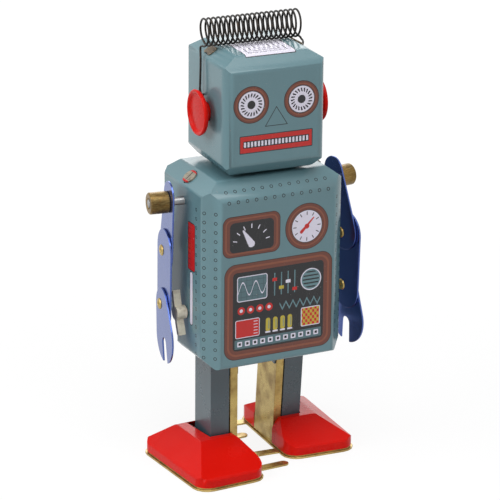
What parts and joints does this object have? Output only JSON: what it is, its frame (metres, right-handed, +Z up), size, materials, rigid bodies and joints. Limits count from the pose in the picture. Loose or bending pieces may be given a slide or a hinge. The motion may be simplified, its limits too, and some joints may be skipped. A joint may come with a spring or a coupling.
{
  "type": "wind-up walking toy robot",
  "caption": "Printed tinplate wind-up walking robot with box body and head, riveted claw arms, striding legs, winding key, gear train and coiled spring antenna.",
  "frame": {"origin": "on the floor under the soles, at the middle of the bounding box", "axes": "+Z up, the robot faces -Y, its own right side is -X"},
  "size_m": [0.0644, 0.0466, 0.1303],
  "materials": {
    "teal_tinplate": "glossy printed enamel",
    "red_tinplate": "glossy printed enamel",
    "blue_tinplate": "glossy printed enamel",
    "grey_tinplate": "satin printed enamel",
    "brass": "lacquered brass-coloured tinplate",
    "clockwork_steel": "plain steel",
    "black_steel": "blackened spring wire",
    "key_metal": "pale cast metal"
  },
  "bodies": {
    "torso": {"body_front_shell": "teal_tinplate", "body_back_shell": "teal_tinplate", "bottom_plate": "red_tinplate", "chassis_frame": "red_tinplate", "neck_collar": "black_steel", "head_front_shell": "teal_tinplate", "head_back_shell": "teal_tinplate", "ear_right": "red_tinplate", "ear_left": "red_tinplate", "ear_rivets": "red_tinplate", "antenna_spring": "black_steel", "antenna_tabs": "clockwork_steel", "motor_plate_right": "clockwork_steel", "motor_plate_left": "clockwork_steel", "motor_pillars": "clockwork_steel", "leg_pivots": "clockwork_steel", "mainspring": "clockwork_steel"},
    "key_set": {"winding_key": "key_metal", "winding_arbor": "clockwork_steel", "ratchet_wheel": "clockwork_steel"},
    "great_wheel_set": {"great_wheel": "brass", "ratchet_click": "clockwork_steel"},
    "crankshaft": {"crank_axle": "clockwork_steel", "crank_pinion": "brass", "crank_disc_right": "clockwork_steel", "crank_disc_left": "clockwork_steel"},
    "third_wheel_set": {"third_wheel": "brass", "third_pinion": "clockwork_steel"},
    "escape_wheel_set": {"escape_wheel": "brass", "escape_pinion": "clockwork_steel"},
    "verge_lever": {"verge": "clockwork_steel"},
    "right_leg": {"leg_channel_right": "grey_tinplate", "leg_plate_right": "brass", "foot_shell_right": "red_tinplate", "sole_right": "brass"},
    "left_leg": {"leg_channel_left": "grey_tinplate", "leg_plate_left": "brass", "foot_shell_left": "red_tinplate", "sole_left": "brass"},
    "right_upper_arm": {"stud_right": "clockwork_steel", "collar_right": "brass", "upper_arm_right": "blue_tinplate", "elbow_rivet_right": "brass"},
    "right_forearm": {"forearm_right": "blue_tinplate", "wrist_rivet_right": "brass"},
    "right_hand": {"hand_right": "blue_tinplate"},
    "left_upper_arm": {"stud_left": "clockwork_steel", "collar_left": "brass", "upper_arm_left": "blue_tinplate", "elbow_rivet_left": "brass"},
    "left_forearm": {"forearm_left": "blue_tinplate", "wrist_rivet_left": "brass"},
    "left_hand": {"hand_left": "blue_tinplate"}
  },
  "joints": [
    {"name": "key_winding", "type": "hinge", "parent": "torso", "child": "key_set", "pos_m": [0, -0.002, 0.0465], "axis": [1, 0, 0], "continuous": true},
    {"name": "great_wheel_spin", "type": "hinge", "parent": "torso", "child": "great_wheel_set", "pos_m": [0, -0.002, 0.0465], "axis": [1, 0, 0], "continuous": true},
    {"name": "crank_spin", "type": "hinge", "parent": "torso", "child": "crankshaft", "pos_m": [0, 0.001, 0.03696], "axis": [1, 0, 0], "continuous": true},
    {"name": "third_wheel_spin", "type": "hinge", "parent": "torso", "child": "third_wheel_set", "pos_m": [0, -0.001, 0.05645], "axis": [1, 0, 0], "continuous": true},
    {"name": "escape_wheel_spin", "type": "hinge", "parent": "torso", "child": "escape_wheel_set", "pos_m": [0, -0.004, 0.0643], "axis": [1, 0, 0], "continuous": true},
    {"name": "verge_rock", "type": "hinge", "parent": "torso", "child": "verge_lever", "pos_m": [0, 0.0004, 0.0687], "axis": [1, 0, 0], "range_deg": [-2, 2]},
    {"name": "right_leg_swing", "type": "hinge", "parent": "torso", "child": "right_leg", "pos_m": [0, 0, 0.06], "axis": [1, 0, 0], "range_deg": [-3.4, 8.9]},
    {"name": "left_leg_swing", "type": "hinge", "parent": "torso", "child": "left_leg", "pos_m": [0, 0, 0.06], "axis": [1, 0, 0], "range_deg": [-8.9, 3.4]},
    {"name": "right_shoulder", "type": "hinge", "parent": "torso", "child": "right_upper_arm", "pos_m": [-0.02185, 0, 0.0788], "axis": [-0.9903, 0.1392, 0], "range_deg": [-40, 150]},
    {"name": "right_elbow", "type": "hinge", "parent": "right_upper_arm", "child": "right_forearm", "pos_m": [-0.02528, 0.00437, 0.06337], "axis": [-0.9903, 0.1392, 0], "range_deg": [-60, 90]},
    {"name": "right_wrist", "type": "hinge", "parent": "right_forearm", "child": "right_hand", "pos_m": [-0.02587, 0.00445, 0.04747], "axis": [-0.9903, 0.1392, 0], "range_deg": [-60, 60]},
    {"name": "left_shoulder", "type": "hinge", "parent": "torso", "child": "left_upper_arm", "pos_m": [0.02185, 0, 0.0788], "axis": [-0.9903, -0.1392, 0], "range_deg": [-40, 150]},
    {"name": "left_elbow", "type": "hinge", "parent": "left_upper_arm", "child": "left_forearm", "pos_m": [0.02635, -0.00325, 0.06337], "axis": [-0.9903, -0.1392, 0], "range_deg": [-60, 90]},
    {"name": "left_wrist", "type": "hinge", "parent": "left_forearm", "child": "left_hand", "pos_m": [0.02694, -0.00317, 0.04747], "axis": [-0.9903, -0.1392, 0], "range_deg": [-60, 60]}
  ],
  "couplings": [
    {"joint": "crank_spin", "follows": "great_wheel_spin", "ratio": -4},
    {"joint": "third_wheel_spin", "follows": "great_wheel_spin", "ratio": -4},
    {"joint": "escape_wheel_spin", "follows": "great_wheel_spin", "ratio": 12.8},
    {"joint": "left_leg_swing", "follows": "right_leg_swing", "ratio": -1}
  ]
}
